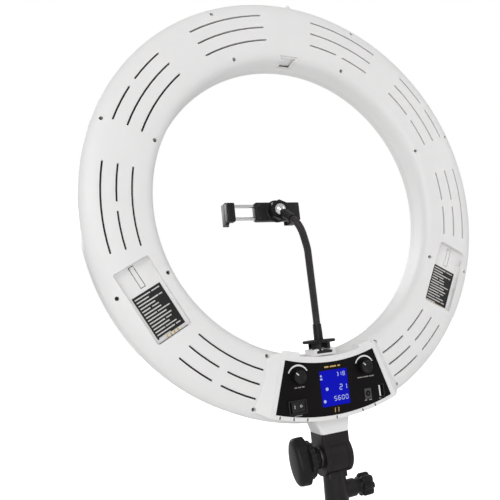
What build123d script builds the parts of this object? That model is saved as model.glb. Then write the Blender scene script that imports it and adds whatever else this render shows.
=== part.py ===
from build123d import *
import os
from math import cos, radians, sin

os.makedirs("parts", exist_ok=True)

# An 18 inch LED ring light seen as it hangs on a studio stand. Millimetres, +Z up. The origin is the
# centre of the stand socket's mouth. The LEDs face -Y and the control panel faces +Y.

# --- driving dimensions: ring head ---
ring_z = 338.0  # ring centre above the socket mouth
ring_y = -2.0  # widest plane of the ring, in front of the stand axis
ring_outer_r = 240.0
ring_inner_r = 168.5
crown_r = 205.0
crown_h = 15.5  # crown of the back shell above the widest plane
outer_fullness = 0.71  # how square the outer shoulder is, as a share of its width
inner_fullness = 0.765
shell_t = 2.6
split_h = -14.0  # where the rear housing meets the front trim
front_h = -24.0
trim_lip = 6.0
trim_gap = 0.1
trim_ledge_r = (180.5, 226.0)
diffuser_h = (-22.15, -20.15)
flange_h = -17.0
lip_h = -22.2

# --- vents: three rows of slots in eight groups, angles from the top ---
vent_rows = (220.2, 205.5, 190.7)
vent_w = 1.9
vent_bridge = 3.0  # degrees between the halves of a split slot
vent_groups = ((8.6, 32.0), (44.0, 67.5), (79.3, 102.8), (134.3, 157.3))
split_left = ((), (0,), (1,), (0, 1))  # rows that are split, group by group, on the +X side
split_right = ((2,), (0, 2), (1, 2), (0, 1, 2))

# --- housing screws ---
screw_angles = (22.9, 68.3, 113.5, 157.7)
screw_rows = (230.5, 176.0)
screw_post_r = 5.0
screw_well_r = 2.05
screw_head_r = 1.8
screw_head_t = 1.8
screw_cross = (2.4, 0.6)
screw_shank_r = 1.25
screw_hole_r = 1.3
screw_seat_h = 4.5
screw_tip_h = -16.5
rim_slot_r = 233.3
rim_slot_angles = (163.8, 167.6, 171.4, 179.8, 187.7, 191.7)
rim_slot_size = (3.4, 1.5)
rim_slot_deep = 6.0

# --- control panel ---
platform_h = 25.4
platform_half = 18.9  # degrees each side of the bottom
platform_r = (170.4, 235.2)
ramp_h = 13.0  # the platform's sides ramp down to the crown
ramp_half = 22.3
ramp_r = (175.0, 232.5)
cavity_half = 18.2
plate_half = 17.4
plate_r = (176.6, 231.0)
plate_t = 1.6
plate_h = 25.0
plate_ledge = 1.2
panel_wall = 2.4
rim_tab_span = (12.3, 17.2)  # degrees each side of the bottom
rim_tab_out = 3.8
rim_tab_deep = 13.0
lcd_size = (34.0, 37.4)
lcd_at = (-1.0, -203.4)
knob_at = ((40.0, -187.0), (-40.0, -187.0))
knob_r = 7.5
knob_height = 6.3
knob_gap = 0.5  # above the panel
knob_hole_r = 3.6
shaft_r = 3.0
shaft_rise = 4.2
running = 0.05
rocker_at = (44.7, -216.6)
rocker_frame_size = (20.6, 14.4)
rocker_size = (16.4, 10.4)
rocker_tilt = 7.0
rocker_pivot_h = 22.5
rocker_body_size = (18.8, 12.4)
rocker_half = 7.9
rocker_end = 4.2  # ends and middle of the rocker's face above its pivot
rocker_dip = 3.0
jack_at = (-40.0, -215.4)
jack_flange = (8.4, 11.0)
jack_barrel_r = 3.9
jack_bore_r = 2.85
jack_pin_r = 1.0
usb_at = (-57.5, -214.6)
usb_size = (7.2, 13.2)
driver_h = 10.0
driver_at = (0.0, -204.0)
driver_size = (98.0, 38.0)

# --- battery bays ---
bay_angle = 118.2
bay_r = 202.6
bay_size = (38.6, 79.0)
bay_floor_h = 8.5
bay_rim_h = 12.0
bay_notch = (4.4, 7.5)
bay_label_size = (31.5, 46.5)
bay_label_shift = 12.3
latch_size = (4.2, 22.0)
latch_centre = -26.5
latch_t = 1.6

# --- LED board ---
board_r = (181.3, 225.2)
board_h = -8.4
board_t = 1.6
board_post_r = 198.0
board_post_angles = (0, 38, 76, 145, 215, 284, 322)
board_post_outer_r = 4.0
board_screw_r = 1.25
board_screw_head_r = 2.4
cool_rows = (186.5, 203.5, 218.5)
warm_rows = (193.0, 210.0)
leds_per_row = 60
led_size = (3.5, 2.8, 0.8)

# --- tilt bracket and stand socket ---
tilt_z = 62.5
arm_screw_at = ((11.0, 0.0), (-11.0, 0.0))
arm_screw_r = 2.25
arm_top_z = 87.3
arm_half_x = 16.0
arm_half_y = 14.5
ear_r = 19.0
ear_inner_x = 10.3
washer_r = 9.0
washer_t = 1.1
tongue_half_x = 10.0
tongue_r = 18.8
bolt_r = 3.95
bolt_bore_r = 4.03
post_top_z = 42.8
post_top_r = 12.0
saddle_z = 50.0  # the post runs up beside the tongue as a saddle under the ears
saddle_r = 19.3
post_bottom_r = 13.3
socket_r = 8.05  # takes a 16 mm (5/8 inch) spigot
socket_depth = 38.0
stand_screw_z = 24.5
stand_stud_r = 3.0
stand_boss_r = 9.2

# --- phone arm: shoe, gooseneck, ball and clamp, as offsets from the ring centre ---
neck_y = 3.0
shoe_floor = -167.6
foot_top = -165.3
wheel_r = 18.0
wheel_z = (-156.3, -153.3)
wheel_hub_bottom = -162.6
sleeve_z = (-152.9, -136.0)
tube_r = 3.8
cup_gap = 0.3
neck_bend_low_at = (3.96, 10.3, -110.8)
neck_bend_mid_at = (11.2, 23.5, -83.2)
neck_bend_top_at = (21.2, 39.1, -49.2)
neck_corner_low = (0.0, neck_y, -126.0)
neck_corner_mid = (18.0, 36.0, -57.0)
neck_corner_top = (28.7, 46.0, -32.2)
shoe_stud_r = 2.0
ball_at = (33.7, 12.0, -8.3)
ball_r = 7.0
ball_gap = 0.15
stem_r = 2.2
stem_end = 24.0
upper_sleeve = (8.6, 27.0)
upper_sleeve_r = (4.2, 4.9)
clamp_back = 4.0
clamp_front = -6.0
clamp_half_z = 10.4
jaw_half_z = 12.2
clamp_body_x = (13.0, 58.0)
fixed_jaw_x = (5.0, 13.0)
slide_jaw_x = (82.0, 91.0)
slide_jaw_inner_x = 87.0
jaw_tip_y = -18.0
jaw_lip = 2.2
pad_t = 1.2
rod_r = 1.9
rod_bore_r = 1.97
rod_spacing = 13.8
rod_y = -1.0
rod_x = (31.0, 88.0)
collar_r = 11.0
collar_rise = 1.7  # how far the collar reaches past the ball's centre, so that it holds the ball
spring_x = 28.5
spring_bore_r = 2.5
spring_r = (2.05, 0.2, 2.42)  # inner wave, its height, outer

ring_centre = Vector(0, ring_y, ring_z)
ring_axis = Axis(ring_centre, (0, 1, 0))
profile_plane = Plane(origin=ring_centre, x_dir=(0, 0, 1), z_dir=(-1, 0, 0))


def back_plane(h):
    """A plane across the ring at height h towards the back: local x is X, local y is Z, facing forward."""
    return Plane(origin=(0, ring_y + h, ring_z), x_dir=(1, 0, 0), z_dir=(0, -1, 0))


def at_angle(radius, angle):
    """A point on a back_plane at an angle from the top, towards +X."""
    return (radius * sin(radians(angle)), radius * cos(radians(angle)))


def from_ring(point):
    """A point given from the ring's centre, in the model's frame."""
    return ring_centre + Vector(*point)


def sector(inner_r, outer_r, start, end):
    """A flat ring sector between two angles."""
    with BuildSketch() as face:
        with BuildLine():
            CenterArc((0, 0), inner_r, 90 - end, end - start)
            CenterArc((0, 0), outer_r, 90 - end, end - start)
            Line(at_angle(inner_r, start), at_angle(outer_r, start))
            Line(at_angle(inner_r, end), at_angle(outer_r, end))
        make_face()
    return face.sketch


def vent_slots():
    """Every vent slot as one flat sketch."""
    with BuildSketch() as slots:
        for side, splits in ((1, split_left), (-1, split_right)):
            for (start, end), split_rows in zip(vent_groups, splits):
                middle = (start + end) / 2
                for row, radius in enumerate(vent_rows):
                    spans = [(start, end)]
                    if row in split_rows:
                        spans = [(start, middle - vent_bridge / 2), (middle + vent_bridge / 2, end)]
                    for a, b in spans:
                        first = 90 - max(side * a, side * b)
                        SlotArc(CenterArc((0, 0), radius, first, b - a, mode=Mode.PRIVATE), vent_w)
    return slots.sketch


def finish(part, name):
    """Label a piece and write it."""
    part.label = name
    export_step(part, f"parts/{name}.step")


def screw_places():
    """The housing screws' places on a back_plane."""
    angles = [side * a for a in screw_angles for side in (1, -1)]
    return [at_angle(r, a) for r in screw_rows for a in angles]


def bay_plane(side, h):
    """A plane on a battery bay's floor: local y runs along the bay, upwards, local x across it."""
    x, z = at_angle(bay_r, side * bay_angle)
    along = at_angle(1, side * bay_angle - side * 90)
    across = Vector(along[1], 0, -along[0])
    return Plane(origin=(x, ring_y + h, ring_z + z), x_dir=across, z_dir=(0, -1, 0))


# --- rear housing ---
shell_bottom_r = crown_r + (ring_outer_r - crown_r) * outer_fullness
shell_top_r = crown_r - (crown_r - ring_inner_r) * inner_fullness
skin_h = crown_h - shell_t
skin_outer_r = ring_outer_r - shell_t
skin_inner_r = ring_inner_r + shell_t
boss_top_z = ring_z - 231.0

with BuildPart() as rear_housing:
    with BuildSketch(profile_plane):
        with BuildLine():
            Bezier(
                (ring_inner_r, 0),
                (ring_inner_r, inner_fullness * crown_h),
                (shell_top_r, crown_h),
                (crown_r, crown_h),
            )
            Bezier(
                (crown_r, crown_h),
                (shell_bottom_r, crown_h),
                (ring_outer_r, outer_fullness * crown_h),
                (ring_outer_r, 0),
            )
            Polyline((ring_outer_r, 0), (ring_outer_r, split_h), (skin_outer_r, split_h), (skin_outer_r, 0))
            Bezier(
                (skin_outer_r, 0),
                (skin_outer_r, outer_fullness * skin_h),
                (shell_bottom_r - shell_t / 2, skin_h),
                (crown_r, skin_h),
            )
            Bezier(
                (crown_r, skin_h),
                (shell_top_r + shell_t / 2, skin_h),
                (skin_inner_r, inner_fullness * skin_h),
                (skin_inner_r, 0),
            )
            Polyline((skin_inner_r, 0), (skin_inner_r, split_h), (ring_inner_r, split_h), (ring_inner_r, 0))
        make_face()
    revolve(axis=ring_axis)
    # battery bay trays, control box, screw posts and board posts
    for side in (1, -1):
        with BuildSketch(bay_plane(side, bay_floor_h - shell_t)):
            Rectangle(bay_size[0] + 2 * shell_t, bay_size[1] + 2 * shell_t)
        extrude(amount=-(bay_rim_h - bay_floor_h + shell_t))
    with BuildSketch(back_plane(platform_h)):
        add(sector(*platform_r, 180 - platform_half, 180 + platform_half))
    extrude(amount=platform_h - 2)
    with BuildSketch(back_plane(platform_h)):
        add(sector(*platform_r, 180 - platform_half, 180 + platform_half))
    with BuildSketch(back_plane(ramp_h)):
        add(sector(*ramp_r, 180 - ramp_half, 180 + ramp_half))
    loft()
    with BuildSketch(back_plane(platform_h - panel_wall)):
        cavity_r = (platform_r[0] + panel_wall, platform_r[1] - panel_wall)
        add(sector(*cavity_r, 180 - cavity_half, 180 + cavity_half))
    extrude(amount=platform_h - panel_wall - 2, mode=Mode.SUBTRACT)
    with BuildSketch(back_plane(platform_h)):
        for side in (1, -1):
            start, end = sorted(180 + side * a for a in rim_tab_span)
            add(sector(platform_r[0] - rim_tab_out, platform_r[0] + 1, start, end))
    extrude(amount=rim_tab_deep)
    with BuildSketch(back_plane(8.0)):
        with Locations(*screw_places()):
            Circle(screw_post_r)
    extrude(amount=8.0 - split_h)
    with BuildSketch(back_plane(skin_h + 1)):
        with Locations(*[at_angle(board_post_r, a) for a in board_post_angles]):
            Circle(board_post_outer_r)
    extrude(amount=skin_h + 1 - board_h - 0.05)
    # stand boss under the ring
    with BuildSketch(Plane.XY.offset(arm_top_z)):
        RectangleRounded(2 * arm_half_x, 2 * arm_half_y, 3)
    with BuildSketch(Plane.XY.offset(boss_top_z)):
        with Locations((0, -1.5)):
            RectangleRounded(2 * arm_half_x + 14, 2 * arm_half_y - 4, 3)
    loft()
    # openings
    with BuildSketch(back_plane(crown_h + 5)):
        add(vent_slots())
    extrude(amount=12, mode=Mode.SUBTRACT)
    for side in (1, -1):
        with BuildSketch(bay_plane(side, bay_floor_h)):
            RectangleRounded(*bay_size, 2.5)
        extrude(amount=-12, mode=Mode.SUBTRACT)
        with BuildSketch(bay_plane(side, bay_floor_h)):
            with Locations((0, -latch_centre)):
                Rectangle(latch_size[0] + 1.4, latch_size[1] + 1.4)
        extrude(amount=6, both=True, mode=Mode.SUBTRACT)
        with BuildSketch(bay_plane(side, bay_floor_h + 0.8)):
            with Locations(*[(x, y) for x in (19, -19) for y in (27, -12.3)]):
                Rectangle(*bay_notch)
        extrude(amount=-2.2, mode=Mode.SUBTRACT)
    with BuildSketch(back_plane(plate_h - plate_t)):
        add(sector(plate_r[0] - 0.15, plate_r[1] + 0.15, 180 - plate_half - 0.05, 180 + plate_half + 0.05))
    extrude(amount=-4, mode=Mode.SUBTRACT)
    with BuildSketch(back_plane(plate_h)):
        add(sector(plate_r[0] + 3, plate_r[1] - plate_ledge, 180 - plate_half + 1, 180 + plate_half - 1))
    extrude(amount=6, mode=Mode.SUBTRACT)
    with BuildSketch(back_plane(crown_h + 4)):
        with Locations(*screw_places()):
            Circle(screw_well_r)
    extrude(amount=crown_h + 4 - screw_seat_h, mode=Mode.SUBTRACT)
    with BuildSketch(back_plane(8.0)):
        with Locations(*screw_places()):
            Circle(screw_hole_r)
    extrude(amount=40, mode=Mode.SUBTRACT)
    with BuildSketch(back_plane(2.0)):
        with Locations(*[at_angle(board_post_r, a) for a in board_post_angles]):
            Circle(board_screw_r + running)
    extrude(amount=20, mode=Mode.SUBTRACT)
    with BuildSketch(back_plane(platform_h + 1)):
        for angle in rim_slot_angles:
            with Locations(Location((*at_angle(rim_slot_r, angle), 0), (0, 0, -angle))):
                SlotOverall(*rim_slot_size, rotation=90)
    extrude(amount=rim_slot_deep, mode=Mode.SUBTRACT)
    # seats of the two accessory shoes in the inner wall
    with BuildSketch(back_plane(crown_h + 4)):
        with Locations((0, ring_inner_r + 1)):
            Rectangle(22.6, 9)
    extrude(amount=crown_h + 4 + 8, mode=Mode.SUBTRACT)
    with BuildSketch(back_plane(14.2)):
        with Locations((0, -ring_inner_r + 2.7)):
            Rectangle(26.3, 8)
    extrude(amount=22.4, mode=Mode.SUBTRACT)
    # screws of the tilt arm
    with BuildSketch(Plane.XY.offset(arm_top_z)):
        with Locations(*arm_screw_at):
            Circle(arm_screw_r + running)
    extrude(amount=9, mode=Mode.SUBTRACT)
    # hanging lug on the top rim
    with BuildSketch(back_plane(2.0)):
        with BuildLine():
            Polyline(
                at_angle(ring_outer_r - 1, -4.2),
                at_angle(ring_outer_r - 1, -1.2),
                at_angle(ring_outer_r + 6.2, -2.8),
                close=True,
            )
        make_face()
    extrude(amount=5)
finish(rear_housing.part, "rear_housing")

# --- front trim and diffuser ---
trim_top = split_h - trim_gap

with BuildPart() as outer_trim_ring:
    with BuildSketch(profile_plane):
        with BuildLine():
            Polyline(
                (ring_outer_r, trim_top),
                (ring_outer_r, front_h + 2),
                (ring_outer_r - 2, front_h),
                (ring_outer_r - trim_lip, front_h),
                (ring_outer_r - trim_lip, lip_h),
                (skin_outer_r, lip_h),
                (skin_outer_r, flange_h),
                (trim_ledge_r[1], flange_h),
                (trim_ledge_r[1], trim_top),
                close=True,
            )
        make_face()
    revolve(axis=ring_axis)
    with BuildSketch(back_plane(trim_top)):
        with Locations(*[p for p in screw_places() if Vector(*p).length > crown_r]):
            Circle(screw_hole_r)
    extrude(amount=3, mode=Mode.SUBTRACT)
finish(outer_trim_ring.part, "outer_trim_ring")

with BuildPart() as inner_trim_ring:
    with BuildSketch(profile_plane):
        with BuildLine():
            Polyline(
                (ring_inner_r, trim_top),
                (ring_inner_r, front_h + 2),
                (ring_inner_r + 2, front_h),
                (ring_inner_r + trim_lip, front_h),
                (ring_inner_r + trim_lip, lip_h),
                (skin_inner_r, lip_h),
                (skin_inner_r, flange_h),
                (trim_ledge_r[0], flange_h),
                (trim_ledge_r[0], trim_top),
                close=True,
            )
        make_face()
    revolve(axis=ring_axis)
    with BuildSketch(back_plane(trim_top)):
        with Locations(*[p for p in screw_places() if Vector(*p).length < crown_r]):
            Circle(screw_hole_r)
    extrude(amount=3, mode=Mode.SUBTRACT)
finish(inner_trim_ring.part, "inner_trim_ring")

with BuildPart() as front_diffuser:
    with BuildSketch(back_plane(diffuser_h[1])):
        Circle(skin_outer_r - 0.3)
        Circle(skin_inner_r + 0.3, mode=Mode.SUBTRACT)
    extrude(amount=diffuser_h[1] - diffuser_h[0])
finish(front_diffuser.part, "front_diffuser")

# --- LED board, its LEDs and screws ---
board_places = [at_angle(board_post_r, a) for a in board_post_angles]

with BuildPart() as led_board:
    with BuildSketch(back_plane(board_h)):
        Circle(board_r[1])
        Circle(board_r[0], mode=Mode.SUBTRACT)
        with Locations(*board_places):
            Circle(board_screw_r + 0.15, mode=Mode.SUBTRACT)
    extrude(amount=board_t)
finish(led_board.part, "led_board")

for name, rows in (("cool_leds", cool_rows), ("warm_leds", warm_rows)):
    with BuildPart() as leds:
        with BuildSketch(back_plane(board_h - board_t)):
            for radius in rows:
                with PolarLocations(radius, leds_per_row):
                    Rectangle(led_size[0], led_size[1])
        extrude(amount=led_size[2])
    finish(leds.part, name)

with BuildPart() as board_screws:
    with BuildSketch(back_plane(board_h - board_t)):
        with Locations(*board_places):
            Circle(board_screw_head_r)
    extrude(amount=1.4)
    with BuildSketch(back_plane(1.5)):
        with Locations(*board_places):
            Circle(board_screw_r)
    extrude(amount=1.5 - board_h + board_t)
finish(board_screws.part, "led_board_screws")

with BuildPart() as housing_screws:
    with BuildSketch(back_plane(screw_seat_h + screw_head_t)):
        with Locations(*screw_places()):
            Circle(screw_head_r)
    extrude(amount=screw_head_t)
    with BuildSketch(back_plane(screw_seat_h)):
        with Locations(*screw_places()):
            Circle(screw_shank_r)
    extrude(amount=screw_seat_h - screw_tip_h)
    with BuildSketch(back_plane(screw_seat_h + screw_head_t)):
        with Locations(*screw_places()):
            Rectangle(*screw_cross)
            Rectangle(*reversed(screw_cross))
    extrude(amount=1.0, mode=Mode.SUBTRACT)
finish(housing_screws.part, "housing_screws")

# --- control panel ---
with BuildPart() as control_plate:
    with BuildSketch(back_plane(plate_h)):
        add(sector(*plate_r, 180 - plate_half, 180 + plate_half))
        with Locations(lcd_at):
            Rectangle(lcd_size[0] - 0.6, lcd_size[1] - 0.6, mode=Mode.SUBTRACT)
        with Locations(*knob_at):
            Circle(knob_hole_r, mode=Mode.SUBTRACT)
        with Locations(rocker_at):
            Rectangle(rocker_body_size[0] + 0.2, rocker_body_size[1] + 0.2, mode=Mode.SUBTRACT)
        with Locations(jack_at):
            Circle(jack_barrel_r + 0.1, mode=Mode.SUBTRACT)
        with Locations(usb_at):
            Rectangle(usb_size[0] + 0.2, usb_size[1] + 0.2, mode=Mode.SUBTRACT)
    extrude(amount=plate_t)
finish(control_plate.part, "control_plate")

with BuildPart() as lcd_glass:
    with BuildSketch(back_plane(plate_h - 0.3)):
        with Locations(lcd_at):
            Rectangle(lcd_size[0] - 0.8, lcd_size[1] - 0.8)
    extrude(amount=2.0)
finish(lcd_glass.part, "lcd_glass")

with BuildPart() as lcd_backlight:
    with BuildSketch(back_plane(plate_h - 2.35)):
        with Locations(lcd_at):
            Rectangle(lcd_size[0] + 3, lcd_size[1] + 2)
    extrude(amount=5)
finish(lcd_backlight.part, "lcd_backlight")

with BuildPart() as driver_board:
    with BuildSketch(back_plane(driver_h)):
        with Locations(driver_at):
            Rectangle(*driver_size)
    extrude(amount=1.6)
finish(driver_board.part, "driver_board")

with BuildPart() as driver_parts:
    with BuildSketch(back_plane(driver_h - 1.6)):
        with Locations((-36, -196), (-26, -196), (-16, -196)):
            Circle(4)
        with Locations((12, -202)):
            Rectangle(20, 18)
        with Locations((36, -206)):
            Rectangle(12, 8)
    extrude(amount=8)
finish(driver_parts.part, "driver_components")

standoff_places = ((47, -199), (-47, -199), (26, -185), (-26, -185))
with BuildPart() as standoffs:
    with BuildSketch(back_plane(plate_h - plate_t)):
        with Locations(*standoff_places):
            RegularPolygon(2.6, 6)
    extrude(amount=plate_h - plate_t - driver_h)
finish(standoffs.part, "board_standoffs")

for side, knob_place in (("brightness", knob_at[0]), ("colour_temp", knob_at[1])):
    with BuildPart() as pot:
        with BuildSketch(back_plane(18.0)):
            with Locations(knob_place):
                RectangleRounded(15, 15, 1)
        extrude(amount=18.0 - driver_h)
        with BuildSketch(back_plane(plate_h)):
            with Locations(knob_place):
                Circle(3.5)
        extrude(amount=plate_h - 18.0)
        with BuildSketch(back_plane(plate_h)):
            with Locations(knob_place):
                Circle(shaft_r + running)
        extrude(amount=plate_h - 12.5, mode=Mode.SUBTRACT)
    finish(pot.part, f"{side}_pot")
    with BuildPart() as shaft:
        with BuildSketch(back_plane(plate_h + shaft_rise)):
            with Locations(knob_place):
                Circle(shaft_r)
        extrude(amount=plate_h + shaft_rise - 13.0)
    finish(shaft.part, f"{side}_shaft")
    with BuildPart() as knob:
        with BuildSketch(back_plane(plate_h + knob_gap)):
            with Locations(knob_place):
                Circle(knob_r)
        extrude(amount=-knob_height, taper=7)
        fillet(knob.faces().sort_by(Axis.Y)[-1].edges(), 0.8)
        with BuildSketch(back_plane(plate_h + knob_gap)):
            with Locations(knob_place):
                Circle(shaft_r + running)
        extrude(amount=-4.0, mode=Mode.SUBTRACT)
        with BuildSketch(back_plane(plate_h + knob_gap + knob_height)):
            with Locations(knob_place):
                with Locations(Location((0, 0, 0), (0, 0, -45))):
                    with Locations((0, 3.6)):
                        Rectangle(0.9, 4.0)
        extrude(amount=0.7, mode=Mode.SUBTRACT)
    finish(knob.part, f"{side}_knob")

with BuildPart() as rocker_frame:
    with BuildSketch(back_plane(plate_h + 1.6)):
        with Locations(rocker_at):
            RectangleRounded(*rocker_frame_size, 1)
    extrude(amount=1.6)
    with BuildSketch(back_plane(plate_h)):
        with Locations(rocker_at):
            Rectangle(*rocker_body_size)
    extrude(amount=10.5)
    with BuildSketch(back_plane(plate_h + 1.6)):
        with Locations(rocker_at):
            Rectangle(rocker_body_size[0] - 1.2, rocker_body_size[1] - 1.2)
    extrude(amount=10.8, mode=Mode.SUBTRACT)
finish(rocker_frame.part, "rocker_frame")

rocker_pivot = from_ring((rocker_at[0], rocker_pivot_h, rocker_at[1]))
rocker_x_dir = (cos(radians(rocker_tilt)), sin(radians(rocker_tilt)), 0)
with BuildPart() as rocker:
    with BuildSketch(Plane(origin=rocker_pivot, x_dir=rocker_x_dir, z_dir=(0, 0, 1))):
        with BuildLine():
            Polyline(
                (-rocker_half, 0.5),
                (-rocker_half, rocker_end),
                (0, rocker_dip),
                (rocker_half, rocker_end),
                (rocker_half, 0.5),
                (2, -3),
                (-2, -3),
                close=True,
            )
        make_face()
    extrude(amount=rocker_size[1] / 2, both=True)
finish(rocker.part, "power_rocker")

with BuildPart() as dc_jack:
    with BuildSketch(back_plane(plate_h + 0.8)):
        with Locations(jack_at):
            RectangleRounded(*jack_flange, 0.8)
    extrude(amount=0.8)
    with BuildSketch(back_plane(plate_h)):
        with Locations(jack_at):
            Circle(jack_barrel_r)
    extrude(amount=14)
    with BuildSketch(back_plane(plate_h + 0.8)):
        with Locations(jack_at):
            Circle(jack_bore_r)
            Circle(jack_pin_r, mode=Mode.SUBTRACT)
    extrude(amount=11, mode=Mode.SUBTRACT)
finish(dc_jack.part, "dc_jack")

with BuildPart() as usb_port:
    with BuildSketch(back_plane(plate_h + 0.3)):
        with Locations(usb_at):
            RectangleRounded(*usb_size, 0.6)
    extrude(amount=12)
    with BuildSketch(back_plane(plate_h + 0.3)):
        with Locations(usb_at):
            Rectangle(usb_size[0] - 1, usb_size[1] - 1)
    extrude(amount=10, mode=Mode.SUBTRACT)
finish(usb_port.part, "usb_port")

with BuildPart() as usb_tongue:
    with BuildSketch(back_plane(plate_h - 0.2)):
        with Locations((usb_at[0] + 1.9, usb_at[1])):
            Rectangle(1.9, 11.2)
    extrude(amount=9.5)
finish(usb_tongue.part, "usb_tongue")

# --- battery bays: labels and spring latches ---
for side, word in ((1, "left"), (-1, "right")):
    with BuildPart() as label:
        with BuildSketch(bay_plane(side, bay_floor_h + 0.35)):
            with Locations((0, -bay_label_shift)):
                Rectangle(*bay_label_size)
        extrude(amount=0.35)
    finish(label.part, f"{word}_bay_label")
    latch_plane = bay_plane(side, bay_floor_h)
    with BuildPart() as latch:
        with BuildSketch(bay_plane(side, bay_floor_h)):
            with Locations((0, -latch_centre)):
                Rectangle(*latch_size)
        extrude(amount=latch_t)
        with BuildSketch(bay_plane(side, bay_floor_h)):
            with Locations((0, -latch_centre + latch_size[1] / 2 - 1.2)):
                Rectangle(latch_size[0], 2.4)
        extrude(amount=-1.6)
        chamfer(latch.edges().filter_by(GeomType.LINE).group_by(Axis.Y)[-1].sort_by(Axis.Z)[-1], 1.0)
    finish(latch.part, f"{word}_battery_latch")

# --- accessory shoes ---
with BuildPart() as top_shoe:
    with BuildSketch(back_plane(9.4)):
        with Locations((0, 171.4)):
            Rectangle(22.4, 5.0)
        with Locations((0, 171.25)):
            Rectangle(18.8, 2.3, mode=Mode.SUBTRACT)
        with Locations((0, 169.4)):
            Rectangle(13.6, 2, mode=Mode.SUBTRACT)
    extrude(amount=9.4 + 7.9)
finish(top_shoe.part, "top_shoe")

with BuildPart() as bottom_shoe:
    with BuildSketch(back_plane(14.1)):
        with BuildLine():
            Polyline(
                (-13, -169.75),
                (13, -169.75),
                (13, -163),
                (6.8, -163),
                (6.8, -164.6),
                (9.5, -164.6),
                (9.5, shoe_floor),
                (-9.5, shoe_floor),
                (-9.5, -164.6),
                (-6.8, -164.6),
                (-6.8, -163),
                (-13, -163),
                close=True,
            )
        make_face()
    extrude(amount=22.2)
finish(bottom_shoe.part, "bottom_shoe")

# --- tilt arm, bolt, knob and washers ---
tilt_centre = Vector(0, 0, tilt_z)


def x_plane(x):
    """A plane across the tilt axis: local x is Y, local y is Z from the axis, extrude goes towards +X."""
    return Plane(origin=(x, 0, tilt_z), x_dir=(0, 1, 0), z_dir=(1, 0, 0))


with BuildPart() as tilt_arm:
    with BuildSketch(Plane.XY.offset(tilt_z)):
        RectangleRounded(2 * arm_half_x, 2 * arm_half_y, 2)
    extrude(amount=arm_top_z - tilt_z)
    with BuildSketch(x_plane(-arm_half_x)):
        Circle(ear_r)
    extrude(amount=2 * arm_half_x)
    with BuildSketch(x_plane(-ear_inner_x)):
        Circle(ear_r + 0.2)
        with Locations((0, -ear_r)):
            Rectangle(4 * ear_r, 2 * ear_r)
    extrude(amount=2 * ear_inner_x, mode=Mode.SUBTRACT)
    with BuildSketch(x_plane(-ear_inner_x - washer_t + running)):
        Circle(washer_r + 0.1)
    extrude(amount=2 * (ear_inner_x + washer_t - running), mode=Mode.SUBTRACT)
    with BuildSketch(x_plane(-arm_half_x)):
        Circle(bolt_bore_r)
    extrude(amount=2 * arm_half_x, mode=Mode.SUBTRACT)
    with BuildSketch(x_plane(-arm_half_x)):
        RegularPolygon(7.6, 6)
    extrude(amount=3.4, mode=Mode.SUBTRACT)
    with BuildSketch(Plane.XY.offset(arm_top_z)):
        with Locations(*arm_screw_at):
            Circle(arm_screw_r + running)
    extrude(amount=-12, mode=Mode.SUBTRACT)
finish(tilt_arm.part, "tilt_arm")

with BuildPart() as arm_screws:
    with BuildSketch(Plane.XY.offset(arm_top_z - 5.2)):
        with Locations(*arm_screw_at):
            Circle(arm_screw_r)
    extrude(amount=13.5)
finish(arm_screws.part, "arm_screws")

with BuildPart() as tilt_bolt:
    with BuildSketch(x_plane(-arm_half_x + 0.1)):
        RegularPolygon(7.5, 6)
    extrude(amount=3.2)
    with BuildSketch(x_plane(-arm_half_x + 0.1)):
        Circle(bolt_r)
    extrude(amount=49)
finish(tilt_bolt.part, "tilt_bolt")

with BuildPart() as friction_washers:
    for x in (ear_inner_x - 0.1, -ear_inner_x + 0.1 - washer_t):
        with BuildSketch(x_plane(x)):
            Circle(washer_r)
            Circle(bolt_bore_r + 0.1, mode=Mode.SUBTRACT)
        extrude(amount=washer_t)
finish(friction_washers.part, "friction_washers")

with BuildPart() as knob_washer:
    with BuildSketch(x_plane(arm_half_x + 0.05)):
        Circle(10)
        Circle(bolt_bore_r + 0.1, mode=Mode.SUBTRACT)
    extrude(amount=1.3)
finish(knob_washer.part, "knob_washer")

tilt_knob_x = (17.7, 26.0, 32.0, 45.5)
blade_tilt = 14.0
with BuildPart() as tilt_knob:
    with BuildSketch(x_plane(tilt_knob_x[0])):
        Circle(11.5)
    extrude(amount=tilt_knob_x[1] - tilt_knob_x[0])
    with BuildSketch(x_plane(tilt_knob_x[1])):
        Circle(19)
    extrude(amount=tilt_knob_x[2] - tilt_knob_x[1])
    with BuildSketch(x_plane(tilt_knob_x[2])):
        Ellipse(14.5, 25, rotation=blade_tilt)
    extrude(amount=tilt_knob_x[3] - tilt_knob_x[2])
    fillet(tilt_knob.faces().sort_by(Axis.X)[-1].edges(), 4)
    with BuildSketch(x_plane(tilt_knob_x[0])):
        Circle(6.5)
    extrude(amount=12, mode=Mode.SUBTRACT)
    with BuildSketch(x_plane(tilt_knob_x[0])):
        Circle(4.6)
    extrude(amount=18, mode=Mode.SUBTRACT)
finish(tilt_knob.part, "tilt_knob")

with BuildPart() as knob_insert:
    with BuildSketch(x_plane(tilt_knob_x[0] + 0.3)):
        Circle(6.5)
        Circle(bolt_bore_r, mode=Mode.SUBTRACT)
    extrude(amount=11.5)
finish(knob_insert.part, "tilt_knob_insert")

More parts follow.
